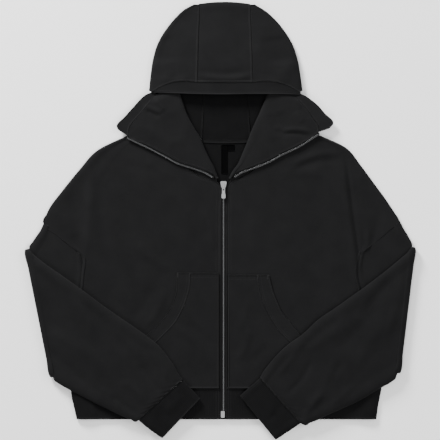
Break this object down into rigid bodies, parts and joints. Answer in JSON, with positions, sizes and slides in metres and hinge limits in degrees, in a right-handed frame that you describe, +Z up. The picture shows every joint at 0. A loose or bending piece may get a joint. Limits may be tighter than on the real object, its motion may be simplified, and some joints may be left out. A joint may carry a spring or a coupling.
{
  "type": "zip up hoodie, laid flat",
  "caption": "Cropped zip up hoodie in black fleece, laid flat with its hood up, collar unzipped and sleeves crossed.",
  "frame": {"origin": "middle of the garment as it lies, on the surface it lies on", "axes": "+X to the wearer's left, +Y from hem to hood, +Z up from the surface, out of the front"},
  "size_m": [0.7816, 0.8755, 0.0193],
  "materials": {
    "fleece": "black brushed-back sweatshirt fleece, matt",
    "rib": "black rib knit, matt",
    "tape": "black woven tape",
    "label": "black satin label, bare",
    "metal": "bright nickel-plated zip metal"
  },
  "bodies": {
    "garment": {"back_body": "fleece", "right_front": "fleece", "left_front": "fleece", "right_pocket": "fleece", "left_pocket": "fleece", "right_pocket_edge": "fleece", "left_pocket_edge": "fleece", "right_sleeve": "fleece", "left_sleeve": "fleece", "hood_centre": "fleece", "right_hood_side": "fleece", "left_hood_side": "fleece", "right_hood_front": "fleece", "left_hood_front": "fleece", "hood_band": "fleece", "right_hood_band": "fleece", "left_hood_band": "fleece", "right_cuff": "rib", "left_cuff": "rib", "hem_band": "rib", "right_zip_edge": "tape", "left_zip_edge": "tape", "right_zip_tape": "tape", "left_zip_tape": "tape", "neck_tape": "tape", "label": "label", "size_label": "label", "zip_box": "metal", "slider": "metal"},
    "pull_tab": {"pull_tab": "metal"}
  },
  "joints": [
    {"name": "pull_tab_hinge", "type": "hinge", "parent": "garment", "child": "pull_tab", "pos_m": [0.007, 0.07, 0.01], "axis": [-1, 0, 0], "range_deg": [0, 160]}
  ]
}
